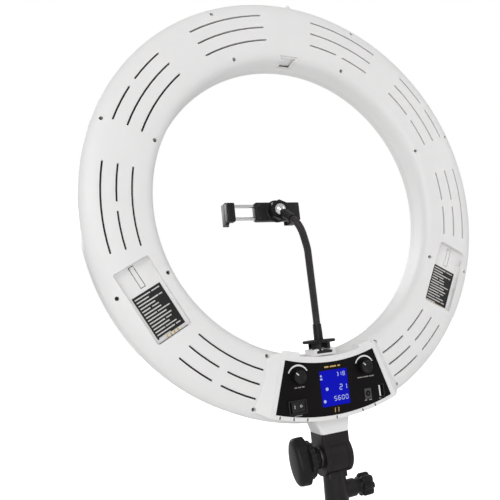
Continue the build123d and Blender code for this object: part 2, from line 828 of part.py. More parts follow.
# --- stand socket and its thumbscrew ---
with BuildPart() as stand_socket:
    with BuildSketch(Plane.XY):
        Circle(post_bottom_r)
    with BuildSketch(Plane.XY.offset(post_top_z)):
        Circle(post_top_r)
    loft()
    with BuildSketch(Plane.XY.offset(post_top_z)):
        Circle(post_top_r)
    extrude(amount=saddle_z - post_top_z)
    with BuildSketch(x_plane(-post_top_r)):
        Circle(saddle_r)
    extrude(amount=2 * post_top_r, mode=Mode.SUBTRACT)
    with BuildSketch(x_plane(-tongue_half_x)):
        Circle(tongue_r)
        with Locations((0, (post_top_z - 2 - tilt_z) / 2)):
            Rectangle(22, tilt_z - post_top_z + 2)
    extrude(amount=2 * tongue_half_x)
    with BuildSketch(Plane(origin=(-8, 0, stand_screw_z), x_dir=(0, 1, 0), z_dir=(-1, 0, 0))):
        Circle(stand_boss_r)
    extrude(amount=14)
    with BuildSketch(Plane.XY):
        Circle(socket_r)
    extrude(amount=socket_depth, mode=Mode.SUBTRACT)
    with BuildSketch(x_plane(-tongue_half_x)):
        Circle(bolt_bore_r)
    extrude(amount=2 * tongue_half_x, mode=Mode.SUBTRACT)
    with BuildSketch(Plane(origin=(-5, 0, stand_screw_z), x_dir=(0, 1, 0), z_dir=(-1, 0, 0))):
        Circle(5.0)
    extrude(amount=18, mode=Mode.SUBTRACT)
finish(stand_socket.part, "stand_socket")


def screw_plane(x):
    """A plane across the stand screw, facing -X."""
    return Plane(origin=(x, 0, stand_screw_z), x_dir=(0, 1, 0), z_dir=(-1, 0, 0))


with BuildPart() as screw_bush:
    with BuildSketch(screw_plane(-9.5)):
        Circle(5.0)
        Circle(stand_stud_r + running, mode=Mode.SUBTRACT)
    extrude(amount=12)
finish(screw_bush.part, "stand_screw_bush")

with BuildPart() as stand_screw:
    with BuildSketch(screw_plane(-8.4)):
        Circle(stand_stud_r)
    extrude(amount=27)
finish(stand_screw.part, "stand_screw")

with BuildPart() as stand_knob:
    with BuildSketch(screw_plane(-22.6)):
        Circle(7.5)
    extrude(amount=6)
    with BuildSketch(screw_plane(-28.6)):
        Circle(9.6)
        with PolarLocations(9.2, 7):
            Circle(3.0)
    extrude(amount=14.4)
    with BuildSketch(screw_plane(-22.6)):
        Circle(stand_stud_r)
    extrude(amount=12.8, mode=Mode.SUBTRACT)
finish(stand_knob.part, "stand_screw_knob")

# --- phone arm: foot, lock wheel and gooseneck ---
neck_global_y = ring_y + neck_y


def neck_plane(z):
    """A plane across the phone arm's foot at height z from the ring centre."""
    return Plane.XY.offset(ring_z + z)


with BuildPart() as shoe_foot:
    with BuildSketch(neck_plane(shoe_floor)):
        with Locations((0, neck_global_y + 0.3)):
            RectangleRounded(18.5, 20.4, 1)
    extrude(amount=foot_top - shoe_floor)
    with BuildSketch(neck_plane(foot_top)):
        with Locations((0, neck_global_y)):
            Circle(shoe_stud_r)
    extrude(amount=-150.2 - foot_top)
finish(shoe_foot.part, "shoe_foot")

with BuildPart() as lock_wheel:
    with BuildSketch(neck_plane(wheel_z[0])):
        with Locations((0, neck_global_y)):
            Circle(wheel_r)
    extrude(amount=wheel_z[1] - wheel_z[0])
    with BuildSketch(neck_plane(wheel_hub_bottom)):
        with Locations((0, neck_global_y)):
            Circle(12)
            Rectangle(7, 30, mode=Mode.SUBTRACT)
            Rectangle(30, 7, mode=Mode.SUBTRACT)
    extrude(amount=wheel_z[0] - wheel_hub_bottom)
    with BuildSketch(neck_plane(wheel_z[0])):
        with Locations((0, neck_global_y)):
            Circle(shoe_stud_r + running)
    extrude(amount=4, mode=Mode.SUBTRACT)
finish(lock_wheel.part, "shoe_lock_wheel")

with BuildPart() as lower_sleeve:
    with BuildSketch(neck_plane(sleeve_z[0])):
        with Locations((0, neck_global_y)):
            Circle(5.2)
    with BuildSketch(neck_plane(sleeve_z[1])):
        with Locations((0, neck_global_y)):
            Circle(4.6)
    loft()
    with BuildSketch(neck_plane(-150)):
        with Locations((0, neck_global_y)):
            Circle(tube_r)
    extrude(amount=15, mode=Mode.SUBTRACT)
    with BuildSketch(neck_plane(sleeve_z[0])):
        with Locations((0, neck_global_y)):
            Circle(shoe_stud_r)
    extrude(amount=4, mode=Mode.SUBTRACT)
finish(lower_sleeve.part, "lower_neck_sleeve")


def neck_tube(name, points, radius, ball_start, cup_end):
    """One stretch of the gooseneck: a ball on its lower end and a cup in its upper end where it bends."""
    places = [from_ring(p) for p in points]
    with BuildPart() as tube:
        with BuildLine():
            if len(places) > 2:
                FilletPolyline(*places, radius=radius)
            else:
                Line(*places)
        with BuildSketch(Plane(origin=places[0], z_dir=places[1] - places[0])):
            Circle(tube_r)
        sweep()
        if ball_start:
            with Locations(places[0]):
                Sphere(tube_r)
        if cup_end:
            with Locations(places[-1]):
                Sphere(tube_r + cup_gap, mode=Mode.SUBTRACT)
    finish(tube.part, name)


stem_dir = (Vector(*neck_corner_top) - Vector(*ball_at)).normalized()
neck_end = Vector(*ball_at) + stem_dir * (stem_end + 0.5)
neck_tube("neck_base_tube", ((0, neck_y, -150.0), neck_corner_low, neck_bend_low_at), 30, False, True)
neck_tube("neck_lower_tube", (neck_bend_low_at, neck_bend_mid_at), 0, True, True)
neck_tube("neck_middle_tube", (neck_bend_mid_at, neck_corner_mid, neck_bend_top_at), 60, True, True)
neck_tube("neck_upper_tube", (neck_bend_top_at, neck_corner_top, tuple(neck_end)), 17, True, False)


def stem_plane(distance):
    """A plane across the ball's stem, this far from the ball's centre."""
    return Plane(origin=from_ring(ball_at) + stem_dir * distance, z_dir=stem_dir)


with BuildPart() as upper_neck_sleeve:
    with BuildSketch(stem_plane(upper_sleeve[0])):
        Circle(upper_sleeve_r[0])
    with BuildSketch(stem_plane(upper_sleeve[0] + 4)):
        Circle(upper_sleeve_r[1])
    loft()
    with BuildSketch(stem_plane(upper_sleeve[0] + 4)):
        Circle(upper_sleeve_r[1])
    extrude(amount=upper_sleeve[1] - upper_sleeve[0] - 4)
    with BuildSketch(stem_plane(upper_sleeve[0])):
        Circle(stem_r + running)
    extrude(amount=20, mode=Mode.SUBTRACT)
    with BuildSketch(stem_plane(stem_end + 0.5)):
        Circle(tube_r)
    extrude(amount=5, mode=Mode.SUBTRACT)
finish(upper_neck_sleeve.part, "upper_neck_sleeve")

with BuildPart() as ball_stud:
    with Locations(from_ring(ball_at)):
        Sphere(ball_r)
    with BuildSketch(stem_plane(0)):
        Circle(stem_r)
    extrude(amount=stem_end)
finish(ball_stud.part, "ball_stud")

# --- ball collar and phone clamp ---
ball_centre = from_ring(ball_at)
lip_y = (jaw_tip_y, jaw_tip_y + 2.2)


def clamp_plane(y):
    """A plane behind the clamp: local x is X and local y is Z from the ball's centre, facing forward."""
    return Plane(origin=(ball_centre.X, ring_y + y, ball_centre.Z), x_dir=(1, 0, 0), z_dir=(0, -1, 0))


def clamp_box(x_span, y_span, half_z):
    """Add a block given by its spans from the ring's centre."""
    x_mid = (x_span[0] + x_span[1]) / 2 - ball_at[0]
    with BuildPart() as block:
        with BuildSketch(clamp_plane(y_span[1])):
            with Locations((x_mid, 0)):
                Rectangle(x_span[1] - x_span[0], 2 * half_z)
        extrude(amount=y_span[1] - y_span[0])
    return block.part


collar_bottom = clamp_back + 0.4
collar_top = ball_at[1] + collar_rise
with BuildPart() as ball_collar:
    with BuildSketch(clamp_plane(collar_top)):
        RegularPolygon(collar_r, 8)
    extrude(amount=collar_top - collar_bottom)
    with BuildSketch(clamp_plane(clamp_back + 3.4)):
        Circle(8.7)
    extrude(amount=4, mode=Mode.SUBTRACT)
    with Locations(ball_centre):
        Sphere(ball_r + ball_gap, mode=Mode.SUBTRACT)
finish(ball_collar.part, "ball_collar")

rod_places = [(0, rod_spacing / 2), (0, -rod_spacing / 2)]


def rod_plane(x):
    """A plane across the clamp's rods: local x is Y, local y is Z, extrude goes towards +X."""
    return Plane(origin=(x, ring_y + rod_y, ball_centre.Z), x_dir=(0, 1, 0), z_dir=(1, 0, 0))


with BuildPart() as clamp_body:
    add(clamp_box((fixed_jaw_x[0], clamp_body_x[1]), (clamp_front, clamp_back), clamp_half_z))
    fillet(clamp_body.edges().filter_by(Axis.Y), 2.5)
    add(clamp_box(fixed_jaw_x, (jaw_tip_y, clamp_front + 1), jaw_half_z))
    lip_x = (fixed_jaw_x[0], fixed_jaw_x[1] + pad_t + jaw_lip)
    add(clamp_box(lip_x, lip_y, jaw_half_z))
    with BuildSketch(clamp_plane(clamp_back + 3)):
        Circle(8.6)
    extrude(amount=5)
    with Locations(ball_centre):
        Sphere(ball_r + ball_gap, mode=Mode.SUBTRACT)
    with BuildSketch(rod_plane(fixed_jaw_x[0] + 3)):
        with Locations(*rod_places):
            Circle(rod_bore_r)
    extrude(amount=60, mode=Mode.SUBTRACT)
    with BuildSketch(rod_plane(28)):
        with Locations(*rod_places):
            Circle(spring_bore_r)
    extrude(amount=26, mode=Mode.SUBTRACT)
finish(clamp_body.part, "clamp_body")

with BuildPart() as clamp_springs:
    turns = 20
    pitch = 25.0 / turns
    inner_r, wave_h, outer_r = spring_r
    wave = [(inner_r + wave_h * (i % 2), i * pitch / 2) for i in range(2 * turns + 1)]
    for z in (rod_spacing / 2, -rod_spacing / 2):
        spring_end = Vector(spring_x, ring_y + rod_y, ball_centre.Z + z)
        with BuildSketch(Plane(origin=spring_end, x_dir=(0, 1, 0), z_dir=(0, 0, 1))):
            with BuildLine():
                Polyline(*[(r, -d) for r, d in wave], (outer_r, -wave[-1][1]), (outer_r, 0), close=True)
            make_face()
        revolve(axis=Axis(spring_end, (1, 0, 0)))
finish(clamp_springs.part, "clamp_springs")

pad_y = (-14.6, -7.4)
with BuildPart() as fixed_jaw_pad:
    add(clamp_box((fixed_jaw_x[1], fixed_jaw_x[1] + pad_t), pad_y, jaw_half_z - 2))
finish(fixed_jaw_pad.part, "fixed_jaw_pad")

with BuildPart() as back_pad:
    add(clamp_box((16.5, 55.0), (clamp_front - 0.8, clamp_front), clamp_half_z - 3))
finish(back_pad.part, "clamp_back_pad")

with BuildPart() as sliding_jaw:
    add(clamp_box(slide_jaw_x, (clamp_front, clamp_back), clamp_half_z))
    chamfer(sliding_jaw.edges().filter_by(Axis.Y).group_by(Axis.X)[-1], 4)
    add(clamp_box((slide_jaw_inner_x, slide_jaw_x[1] - 0.6), (jaw_tip_y, clamp_front + 1), jaw_half_z))
    lip_x = (slide_jaw_inner_x - pad_t - jaw_lip, slide_jaw_x[1] - 0.6)
    add(clamp_box(lip_x, lip_y, jaw_half_z))
    with BuildSketch(rod_plane(slide_jaw_x[0])):
        with Locations(*rod_places):
            Circle(rod_r)
    extrude(amount=rod_x[1] - slide_jaw_x[0], mode=Mode.SUBTRACT)
finish(sliding_jaw.part, "sliding_jaw")

with BuildPart() as sliding_jaw_pad:
    add(clamp_box((slide_jaw_inner_x - pad_t, slide_jaw_inner_x), pad_y, jaw_half_z - 2))
finish(sliding_jaw_pad.part, "sliding_jaw_pad")

with BuildPart() as clamp_rods:
    with BuildSketch(rod_plane(rod_x[0])):
        with Locations(*rod_places):
            Circle(rod_r)
    extrude(amount=rod_x[1] - rod_x[0])
finish(clamp_rods.part, "clamp_rods")
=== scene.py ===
import math

import bmesh
import bpy
from mathutils import Matrix, Vector


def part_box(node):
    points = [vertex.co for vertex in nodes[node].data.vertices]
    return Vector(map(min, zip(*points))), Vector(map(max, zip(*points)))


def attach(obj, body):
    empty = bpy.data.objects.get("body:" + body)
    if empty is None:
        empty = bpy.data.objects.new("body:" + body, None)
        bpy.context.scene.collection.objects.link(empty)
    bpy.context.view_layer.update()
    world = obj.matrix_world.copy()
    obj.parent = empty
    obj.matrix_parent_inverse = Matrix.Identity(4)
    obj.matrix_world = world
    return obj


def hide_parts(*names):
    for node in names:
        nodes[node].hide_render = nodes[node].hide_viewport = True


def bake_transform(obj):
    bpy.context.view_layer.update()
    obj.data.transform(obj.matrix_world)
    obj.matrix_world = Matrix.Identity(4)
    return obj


# An 18 inch LED ring light on its tilting stand socket.
# The scene is in metres, +Z is up, the LEDs face -Y and the control panel faces +Y.
# Places on the ring are written in mm from its centre, and at_ring turns them into metres.
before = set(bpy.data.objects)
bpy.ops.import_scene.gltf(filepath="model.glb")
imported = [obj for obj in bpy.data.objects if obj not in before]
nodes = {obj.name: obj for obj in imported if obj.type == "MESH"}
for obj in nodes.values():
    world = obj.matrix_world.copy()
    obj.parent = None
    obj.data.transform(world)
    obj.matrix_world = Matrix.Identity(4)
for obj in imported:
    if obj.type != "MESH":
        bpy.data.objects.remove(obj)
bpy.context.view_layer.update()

MM = 0.001
TAU = 2 * math.pi

# Places that the other sizes are counted from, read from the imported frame.
diffuser_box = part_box("front_diffuser")
RING_Z = (diffuser_box[0].z + diffuser_box[1].z) / 2
PLATE_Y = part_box("control_plate")[1].y
PLATE_H = 25.0
RING_Y = PLATE_Y - PLATE_H * MM


def at_ring(x, h, z):
    """A point in mm from the ring's centre, h towards the back."""
    return Vector((x * MM, RING_Y + h * MM, RING_Z + z * MM))


# --- materials ---
def new_material(name):
    """A material with only its Principled shader, and a function that adds nodes to it."""
    material = bpy.data.materials.new(name)
    material.use_nodes = True
    tree = material.node_tree
    shader = tree.nodes["Principled BSDF"]

    def add(kind, **settings):
        node = tree.nodes.new(kind)
        for key, value in settings.items():
            if key in node.inputs:
                node.inputs[key].default_value = value
            else:
                setattr(node, key, value)
        return node

    return material, tree, shader, add


def noise_colour(tree, add, coords, scale, dark, light):
    """A noise that runs between two colours."""
    noise = add("ShaderNodeTexNoise", Scale=scale, Detail=6.0, Roughness=0.6)
    tree.links.new(coords.outputs["Object"], noise.inputs["Vector"])
    ramp = add("ShaderNodeValToRGB")
    ramp.color_ramp.elements[0].position = 0.3
    ramp.color_ramp.elements[1].position = 0.7
    ramp.color_ramp.elements[0].color = (*dark, 1)
    ramp.color_ramp.elements[1].color = (*light, 1)
    tree.links.new(noise.outputs["Fac"], ramp.inputs["Fac"])
    return ramp


def moulded(name, colour, rough, grain, depth, spread=0.08, mottle=0.03, specular=0.5):
    """Moulded plastic or rubber: faint mottling, and a fine grain of the given size and depth in mm."""
    material, tree, shader, add = new_material(name)
    coords = add("ShaderNodeTexCoord")
    dark = [c * (1 - mottle) for c in colour]
    light = [min(1, c * (1 + mottle)) for c in colour]
    ramp = noise_colour(tree, add, coords, 28, dark, light)
    tree.links.new(ramp.outputs["Color"], shader.inputs["Base Color"])
    fine = add("ShaderNodeTexNoise", Scale=1 / (grain * MM), Detail=3.0, Roughness=0.55)
    tree.links.new(coords.outputs["Object"], fine.inputs["Vector"])
    broad = add("ShaderNodeTexNoise", Scale=60.0, Detail=4.0)
    tree.links.new(coords.outputs["Object"], broad.inputs["Vector"])
    wear = add("ShaderNodeMapRange", **{"To Min": rough - spread, "To Max": rough + spread})
    tree.links.new(broad.outputs["Fac"], wear.inputs["Value"])
    tree.links.new(wear.outputs["Result"], shader.inputs["Roughness"])
    bump = add("ShaderNodeBump", Strength=0.6, Distance=depth * MM)
    tree.links.new(fine.outputs["Fac"], bump.inputs["Height"])
    tree.links.new(bump.outputs["Normal"], shader.inputs["Normal"])
    shader.inputs["Specular IOR Level"].default_value = specular
    return material


def metal(name, colour, rough, spread=0.08, stretch=(1, 1, 12), depth=0.006, metallic=1.0):
    """Metal with fine tool marks drawn out along one axis."""
    material, tree, shader, add = new_material(name)
    shader.inputs["Metallic"].default_value = metallic
    coords = add("ShaderNodeTexCoord")
    mapping = add("ShaderNodeMapping")
    mapping.inputs["Scale"].default_value = stretch
    tree.links.new(coords.outputs["Object"], mapping.inputs["Vector"])
    dark = [c * 0.9 for c in colour]
    ramp = noise_colour(tree, add, coords, 90, dark, colour)
    tree.links.new(ramp.outputs["Color"], shader.inputs["Base Color"])
    marks = add("ShaderNodeTexNoise", Scale=700.0, Detail=4.0, Roughness=0.6)
    tree.links.new(mapping.outputs["Vector"], marks.inputs["Vector"])
    wear = add("ShaderNodeMapRange", **{"To Min": max(0.02, rough - spread), "To Max": rough + spread})
    tree.links.new(marks.outputs["Fac"], wear.inputs["Value"])
    tree.links.new(wear.outputs["Result"], shader.inputs["Roughness"])
    bump = add("ShaderNodeBump", Strength=0.5, Distance=depth * MM)
    tree.links.new(marks.outputs["Fac"], bump.inputs["Height"])
    tree.links.new(bump.outputs["Normal"], shader.inputs["Normal"])
    return material


def glowing(name, colour, strength, coat, spread=0.12):
    """A lit, coated surface whose light isn't quite even."""
    material, tree, shader, add = new_material(name)
    coords = add("ShaderNodeTexCoord")
    ramp = noise_colour(tree, add, coords, 45, [c * (1 - spread) for c in colour], colour)
    tree.links.new(ramp.outputs["Color"], shader.inputs["Emission Color"])
    shader.inputs["Emission Strength"].default_value = strength
    shader.inputs["Base Color"].default_value = (*[c * 0.05 for c in colour], 1)
    shader.inputs["Specular IOR Level"].default_value = 0.08
    wipe = add("ShaderNodeTexNoise", Scale=120.0, Detail=5.0)
    tree.links.new(coords.outputs["Object"], wipe.inputs["Vector"])
    wear = add("ShaderNodeMapRange", **{"To Min": 0.12, "To Max": 0.3})
    tree.links.new(wipe.outputs["Fac"], wear.inputs["Value"])
    tree.links.new(wear.outputs["Result"], shader.inputs["Roughness"])
    shader.inputs["Coat Weight"].default_value = coat
    shader.inputs["Coat Roughness"].default_value = 0.05
    return material


WHITE = (0.84, 0.832, 0.83)
BLACK = (0.01, 0.009, 0.01)
white_abs = moulded("white_abs", WHITE, rough=0.38, spread=0.05, grain=0.45, depth=0.02, mottle=0.012)
white_trim = moulded(
    "white_trim", (0.8, 0.79, 0.785), rough=0.32, spread=0.05, grain=0.45, depth=0.015, mottle=0.012
)
milky = moulded(
    "milky_acrylic", (0.86, 0.86, 0.84), rough=0.3, spread=0.04, grain=0.9, depth=0.01, mottle=0.01
)
overlay = moulded(
    "panel_overlay", (0.004, 0.003, 0.0035), rough=0.42, grain=0.25, depth=0.006, mottle=0.2, specular=0.12
)
black_gloss = moulded(
    "black_gloss", (0.012, 0.011, 0.012), rough=0.25, grain=0.6, depth=0.01, mottle=0.15, specular=0.3
)
black_satin = moulded("black_satin", BLACK, rough=0.4, grain=0.4, depth=0.03, mottle=0.15, specular=0.25)
black_grip = moulded(
    "black_grip", (0.009, 0.008, 0.009), rough=0.36, grain=0.5, depth=0.05, mottle=0.2, specular=0.25
)
nylon_black = moulded(
    "glass_filled_nylon", (0.011, 0.009, 0.01), rough=0.38, grain=0.7, depth=0.04, mottle=0.2, specular=0.28
)
sheath = moulded(
    "neck_sheath", (0.02, 0.017, 0.018), rough=0.42, grain=0.3, depth=0.03, mottle=0.15, specular=0.35
)
rubber = moulded(
    "pad_rubber", (0.03, 0.03, 0.03), rough=0.75, spread=0.1, grain=0.4, depth=0.06, mottle=0.2
)
print_white = moulded(
    "print_white", (0.8, 0.8, 0.8), rough=0.5, spread=0.06, grain=0.2, depth=0.01, mottle=0.05
)
print_grey = moulded(
    "print_grey", (0.3, 0.29, 0.27), rough=0.5, spread=0.06, grain=0.2, depth=0.01, mottle=0.2
)
print_label = moulded(
    "print_label", (0.62, 0.61, 0.6), rough=0.5, spread=0.06, grain=0.2, depth=0.01, mottle=0.1
)
print_gold = moulded(
    "print_gold", (0.62, 0.4, 0.14), rough=0.4, spread=0.06, grain=0.2, depth=0.01, mottle=0.15
)
label_film = moulded(
    "label_film", (0.012, 0.012, 0.013), rough=0.35, grain=0.3, depth=0.008, mottle=0.2, specular=0.3
)
nylon = moulded("natural_nylon", (0.75, 0.74, 0.7), rough=0.5, spread=0.06, grain=0.5, depth=0.02)
solder_mask = moulded(
    "solder_mask", (0.02, 0.13, 0.05), rough=0.3, spread=0.08, grain=0.8, depth=0.03, mottle=0.25
)
cool_phosphor = moulded(
    "cool_phosphor", (0.8, 0.78, 0.45), rough=0.3, spread=0.05, grain=0.3, depth=0.02, mottle=0.08
)
warm_phosphor = moulded(
    "warm_phosphor", (0.8, 0.45, 0.12), rough=0.3, spread=0.05, grain=0.3, depth=0.02, mottle=0.08
)
chrome = metal("chrome", (0.82, 0.82, 0.83), rough=0.1, spread=0.04, depth=0.002)
steel = metal("zinc_steel", (0.6, 0.6, 0.6), rough=0.32, stretch=(12, 1, 1))
black_oxide = metal("black_oxide", (0.05, 0.05, 0.05), rough=0.4, stretch=(1, 1, 1), metallic=0.8)
anodised = metal("black_anodised", (0.03, 0.03, 0.032), rough=0.35, stretch=(1, 1, 8), metallic=0.6)
brass = metal("brass", (0.75, 0.55, 0.24), rough=0.28, stretch=(12, 1, 1))
lcd_blue = glowing("lcd_blue", (0.0015, 0.0035, 0.46), 1.0, coat=0.02)
lcd_white = glowing("lcd_white", (0.6, 0.68, 1.0), 0.7, spread=0.05, coat=0.0)
# painted shade: a near black that stands for the shade inside the housing; it darkens the LED board's back
# and colours the sheets under the vents and in the rim slots
painted_shade_black = moulded("painted_shade_board_back", (0.01, 0.01, 0.01), rough=0.6, grain=0.6, depth=0.02, mottle=0.2)
port_dark = metal("dark_plate", (0.07, 0.07, 0.075), rough=0.35, stretch=(1, 1, 8), metallic=0.8)
jack_grey = moulded("jack_grey", (0.045, 0.045, 0.047), rough=0.4, grain=0.3, depth=0.02, mottle=0.15)
led_faint = moulded("led_shade", (0.78, 0.71, 0.48), rough=0.35, grain=0.6, depth=0.01, mottle=0.05)

node_materials = {
    white_abs: ["rear_housing", "left_battery_latch", "right_battery_latch", "top_shoe", "bottom_shoe"],
    white_trim: ["outer_trim_ring", "inner_trim_ring", "usb_tongue"],
    milky: ["front_diffuser"],
    # the LED board's back is near black as painted shade for the housing's inside
    painted_shade_black: ["led_board"],
    cool_phosphor: ["cool_leds"],
    warm_phosphor: ["warm_leds"],
    steel: [
        "led_board_screws",
        "arm_screws",
        "brightness_shaft",
        "colour_temp_shaft",
        "brightness_pot",
        "colour_temp_pot",
        "tilt_bolt",
        "knob_washer",
        "stand_screw",
        "clamp_springs",
    ],
    black_oxide: ["housing_screws"],
    port_dark: ["usb_port"],
    jack_grey: ["dc_jack"],
    overlay: ["control_plate"],
    lcd_blue: ["lcd_glass", "lcd_backlight"],
    solder_mask: ["driver_board"],
    black_satin: [
        "driver_components",
        "shoe_lock_wheel",
        "ball_collar",
        "clamp_body",
        "sliding_jaw",
        "lower_neck_sleeve",
        "upper_neck_sleeve",
    ],
    brass: ["board_standoffs", "tilt_knob_insert", "stand_screw_bush"],
    black_grip: ["brightness_knob", "colour_temp_knob", "tilt_knob", "stand_screw_knob"],
    black_gloss: ["rocker_frame", "power_rocker"],
    label_film: ["left_bay_label", "right_bay_label"],
    nylon_black: ["tilt_arm", "stand_socket"],
    nylon: ["friction_washers"],
    anodised: ["shoe_foot"],
    sheath: ["neck_base_tube", "neck_lower_tube", "neck_middle_tube", "neck_upper_tube"],
    chrome: ["ball_stud", "clamp_rods"],
    rubber: ["fixed_jaw_pad", "clamp_back_pad", "sliding_jaw_pad"],
}
for material, names in node_materials.items():
    for node_name in names:
        data = nodes[node_name].data
        data.materials.clear()
        data.materials.append(material)


# --- mesh helpers ---
def piece(name, mesh, material, body, replaces=(), smooth=True):
    """Puts a mesh in the scene as a piece that rides on a body, or on none."""
    data = bpy.data.meshes.new(name)
    bmesh.ops.recalc_face_normals(mesh, faces=mesh.faces)
    mesh.to_mesh(data)
    mesh.free()
    thing = bpy.data.objects.new(name, data)
    bpy.context.scene.collection.objects.link(thing)
    data.materials.append(material)
    if smooth:
        data.shade_smooth()
        data.set_sharp_from_angle(angle=math.radians(38))
    if body:
        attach(thing, body)
    if replaces:
        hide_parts(*replaces)
    return thing


def add_slab(mesh, outline, place, low, high):
    """Adds a flat shape with thickness.

    outline is a list of (x, y), and place turns (x, y, level) into a point.
    """
    bottom = [mesh.verts.new(place(x, y, low)) for x, y in outline]
    top = [mesh.verts.new(place(x, y, high)) for x, y in outline]
    mesh.faces.new(top)
    mesh.faces.new(bottom[::-1])
    for i in range(len(outline)):
        j = (i + 1) % len(outline)
        mesh.faces.new((bottom[i], bottom[j], top[j], top[i]))


def on_ring(x, y, level):
    """Across the ring: x towards +X, y up from the ring's centre, level towards the back, in mm."""
    return at_ring(x, level, y)


def bar(x, y, wide, high, lean=0.0):
    """A bar's outline, leaning by some degrees."""
    c, s = math.cos(math.radians(lean)), math.sin(math.radians(lean))
    w, t = wide / 2, high / 2
    corners = ((-w, -t), (w, -t), (w, t), (-w, t))
    return [(x + u * c - v * s, y + u * s + v * c) for u, v in corners]


def disc(x, y, r, steps=20):
    """A round outline."""
    return [(x + r * math.cos(TAU * i / steps), y + r * math.sin(TAU * i / steps)) for i in range(steps)]


def swell(x, y, r, start, end, thin, thick, steps=28):
    """An arc's outline that swells from thin to thick, angles in degrees from +X."""
    inner, outer = [], []
    for i in range(steps + 1):
        t = i / steps
        a = math.radians(start + (end - start) * t)
        half = (thin + (thick - thin) * math.sin(math.pi * (0.15 + 0.7 * t))) / 2
        inner.append((x + (r - half) * math.cos(a), y + (r - half) * math.sin(a)))
        outer.append((x + (r + half) * math.cos(a), y + (r + half) * math.sin(a)))
    return outer + inner[::-1]


def print_piece(name, outlines, place, low, high, material, body):
    """Raised print: flat outlines with thickness, as one piece."""
    mesh = bmesh.new()
    for outline in outlines:
        add_slab(mesh, outline, place, low, high)
    piece(name, mesh, material, body, smooth=False)


# --- control panel print and display ---
KNOBS = ((40.0, -187.0), (-40.0, -187.0))
ROCKER = (44.7, -216.6)
JACK = (-40.0, -215.4)
USB = (-57.5, -214.6)
ARC_R, ARC_START, ARC_END = 11.6, 155, 25
WORD_WIDTHS, WORD_DROP, WORD_HIGH = (12.5, 22.0), 10.6, 1.1
BADGE_Y, LOWER_MARK_Y = -181.4, -226.0
# Words under the rocker, the jack and the USB port: x, y, width, height and lean.
LOWER_WORDS = (
    (ROCKER[0], -225.2, 8.5, 0.9, 0),
    (JACK[0] + 3.4, -222.0, 3.0, 1.0, 0),
    (JACK[0] - 2.4, -222.2, 3.6, 1.0, 0),
    (USB[0] + 2.6, -222.6, 3.0, 0.9, 8),
)


def panel_print(name, outlines, thick, material):
    """Print on the control panel's face."""
    print_piece(name, outlines, on_ring, PLATE_H, PLATE_H + thick, material, "ring_head")


arcs = [swell(kx, ky, ARC_R, ARC_START, ARC_END, 0.5, 1.7) for kx, ky in KNOBS]
panel_print("panel_arcs", arcs, 0.12, print_white)
words = []
for (kx, ky), wide in zip(KNOBS, WORD_WIDTHS):
    for i in range(3):
        words.append(bar(kx + (i - 1) * wide / 3, ky - WORD_DROP, wide / 3 - 1.1, WORD_HIGH))
words += [bar(*word) for word in LOWER_WORDS]
panel_print("panel_marks", words, 0.1, print_grey)
gold = [bar(x, BADGE_Y, w, 1.5) for x, w in ((6.5, 5.0), (-1.5, 7.5), (-8.5, 3.0))]
gold += [bar(x, LOWER_MARK_Y, 0.8, 4.6, 6) for x in (1.8, -2.4)]
panel_print("panel_badge", gold, 0.1, print_gold)

# The segments of the digits that the display shows.
SEGMENTS = {"0": "abcdef", "1": "bc", "2": "abged", "5": "afgcd", "6": "afgedc", "8": "abcdefg"}


def digit(character, x, y, wide, high, stroke):
    """A seven segment digit's outlines. Seen from the back, a digit's right is towards -X."""
    w, t = wide / 2, high / 2
    # Each segment's middle, its length across and its length up.
    spots = {
        "a": (0, t, wide, 0), "g": (0, 0, wide, 0), "d": (0, -t, wide, 0),
        "f": (w, t / 2, 0, t), "b": (-w, t / 2, 0, t),
        "e": (w, -t / 2, 0, t), "c": (-w, -t / 2, 0, t),
    }
    shapes = []
    for name in SEGMENTS[character]:
        u, v, across, up = spots[name]
        long = max(across, up) - stroke * 0.35
        tip, side = long / 2, stroke / 2
        shape = [(-tip, 0), (-tip + side, side), (tip - side, side)]
        shape += [(tip, 0), (tip - side, -side), (-tip + side, -side)]
        if up:
            shape = [(b, a) for a, b in shape]
        shapes.append([(x + u + a, y + v + b) for a, b in shape])
    return shapes


def number(text, x, y, wide, high, stroke, pitch):
    """Digits in a row, ending at x on the -X side."""
    shapes = []
    for i, character in enumerate(reversed(text)):
        shapes += digit(character, x + i * pitch, y, wide, high, stroke)
    return shapes


# The display's glyphs, placed from its middle.
LCD = (-1.0, -203.4)
LCD_H = PLATE_H - 0.3
# Each number: its digits, its last digit's place, and a digit's width, height, stroke and pitch.
READINGS = (
    ("18", -12.4, 13.2, 2.2, 4.0, 0.7, 4.2),
    ("21", -12.6, -0.4, 3.2, 5.2, 0.85, 5.2),
    ("5600", -13.2, -11.2, 2.7, 4.2, 0.7, 4.6),
)
glyphs = []
for text, across, up, wide, high, stroke, pitch in READINGS:
    glyphs += number(text, LCD[0] + across, LCD[1] + up, wide, high, stroke, pitch)
glyphs += [swell(LCD[0] - 3.4, LCD[1] + 13.2, 2.4, 120, 240, 0.5, 0.9)]
glyphs += [disc(LCD[0] + 15.0, LCD[1] + 13.4, 1.1), bar(LCD[0] + 15.0, LCD[1] + 10.2, 2.6, 1.6)]
glyphs += [disc(LCD[0] + 9.4, LCD[1] - 0.6, 1.7), disc(LCD[0] + 13.4, LCD[1] - 12.8, 1.6)]
print_piece("lcd_digits", glyphs, on_ring, LCD_H, LCD_H + 0.08, lcd_white, "ring_head")


